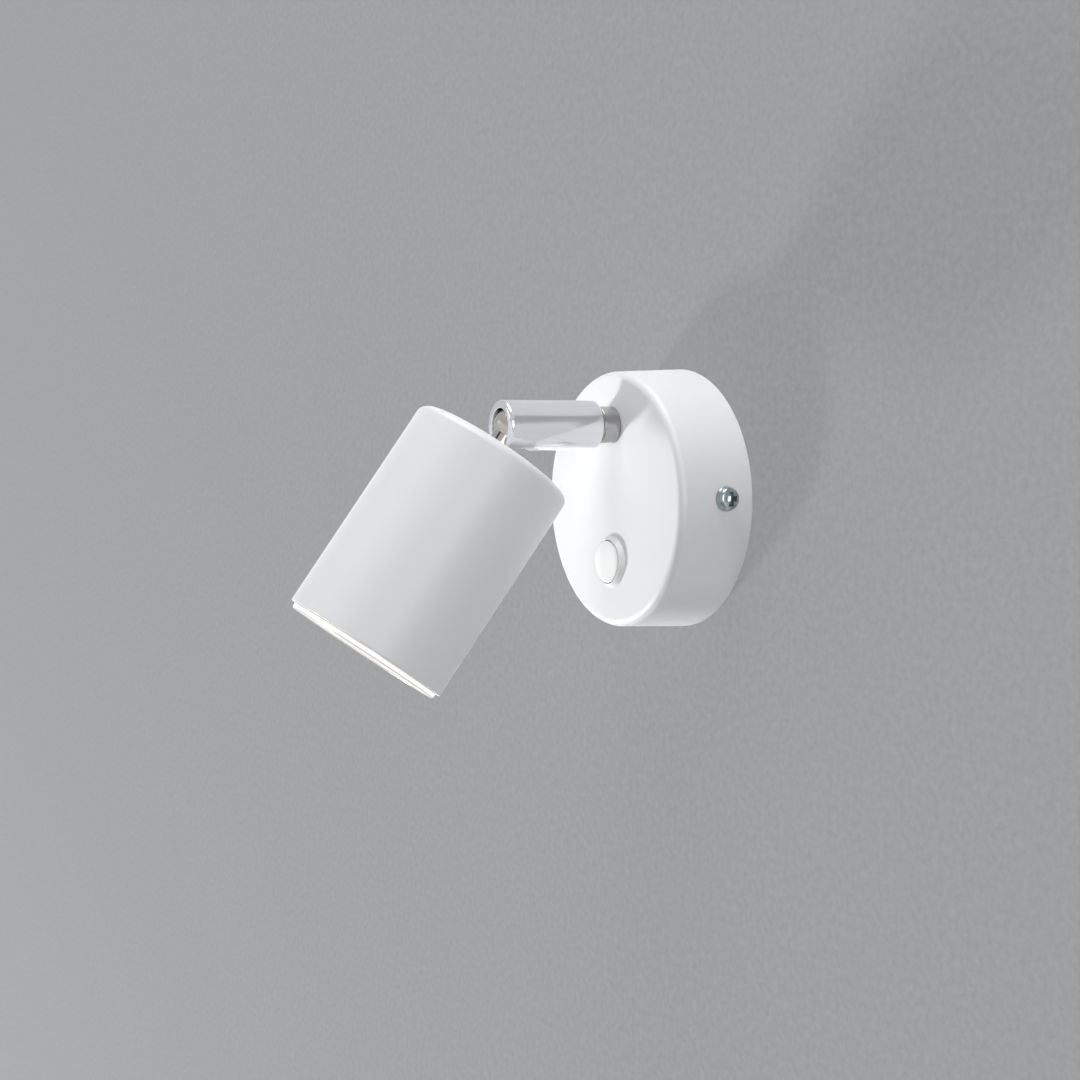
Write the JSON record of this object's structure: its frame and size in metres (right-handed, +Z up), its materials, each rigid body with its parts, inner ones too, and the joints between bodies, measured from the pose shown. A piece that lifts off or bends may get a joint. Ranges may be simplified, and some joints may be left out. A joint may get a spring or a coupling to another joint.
{
  "type": "pivoting spotlight wall light",
  "caption": "Round wall base with push switch, short swivelling chrome arm and a white cylindrical spotlight head that tilts on a ball knuckle.",
  "frame": {"origin": "centre of the base where it meets the wall, which is also the centre of the two wall-screw slots", "axes": "+Z up, +Y into the wall, -Y into the room, +X to the right of someone who faces the wall"},
  "size_m": [0.0896, 0.1319, 0.1037],
  "materials": {
    "white_powder_coat": "satin white powder coat with a fine orange peel",
    "chrome": "polished chrome plate",
    "satin_nickel": "satin nickel plate",
    "zinc_steel": "bright zinc-plated steel",
    "brass": "plain brass",
    "switch_plastic": "white plastic, slightly glossy",
    "switch_gloss": "glossy white plastic",
    "terminal_plastic": "matte off-white plastic",
    "ceramic_white": "unglazed white ceramic",
    "lamp_plastic": "light grey thermoplastic",
    "lamp_rim": "bright aluminium rim",
    "lamp_glass": "frosted lens, lit warm white"
  },
  "bodies": {
    "base": {"wall_plate": "zinc_steel", "terminal_block": "terminal_plastic", "terminal_screws": "zinc_steel", "terminal_fixing": "zinc_steel", "earth_screw": "brass", "base_cover": "white_powder_coat", "cover_screws": "zinc_steel", "switch_housing": "switch_plastic", "switch_nut": "zinc_steel", "neck_collar": "satin_nickel", "neck_washer": "zinc_steel", "neck_nut": "zinc_steel", "stop_washer": "zinc_steel", "swivel_washer": "zinc_steel", "swivel_nut": "zinc_steel"},
    "button": {"switch_button": "switch_gloss"},
    "arm": {"arm_sleeve": "chrome", "stop_pin": "zinc_steel", "pivot_tongue": "satin_nickel"},
    "head": {"knuckle": "satin_nickel", "pivot_pin": "zinc_steel", "friction_washers": "zinc_steel", "stem_nut": "zinc_steel", "shade": "white_powder_coat", "holder_bracket": "zinc_steel", "lampholder": "ceramic_white", "holder_screws": "zinc_steel", "lamp_body": "lamp_plastic", "lamp_ring": "lamp_rim", "lamp_lens": "lamp_glass", "lamp_pins": "satin_nickel"}
  },
  "joints": [
    {"name": "switch_press", "type": "slide", "parent": "base", "child": "button", "axis": [0, 1, 0], "range_m": [0, 0.0014], "stiffness_N_per_m": 600, "springref_m": -0.004},
    {"name": "arm_swivel", "type": "hinge", "parent": "base", "child": "arm", "pos_m": [0, 0, 0.024], "axis": [0, 1, 0], "range_deg": [-168.2, 151.8]},
    {"name": "head_tilt", "type": "hinge", "parent": "arm", "child": "head", "pos_m": [0, -0.0626, 0.024], "axis": [0.9898, 0, -0.1426], "range_deg": [-56.3, 33.7]}
  ]
}
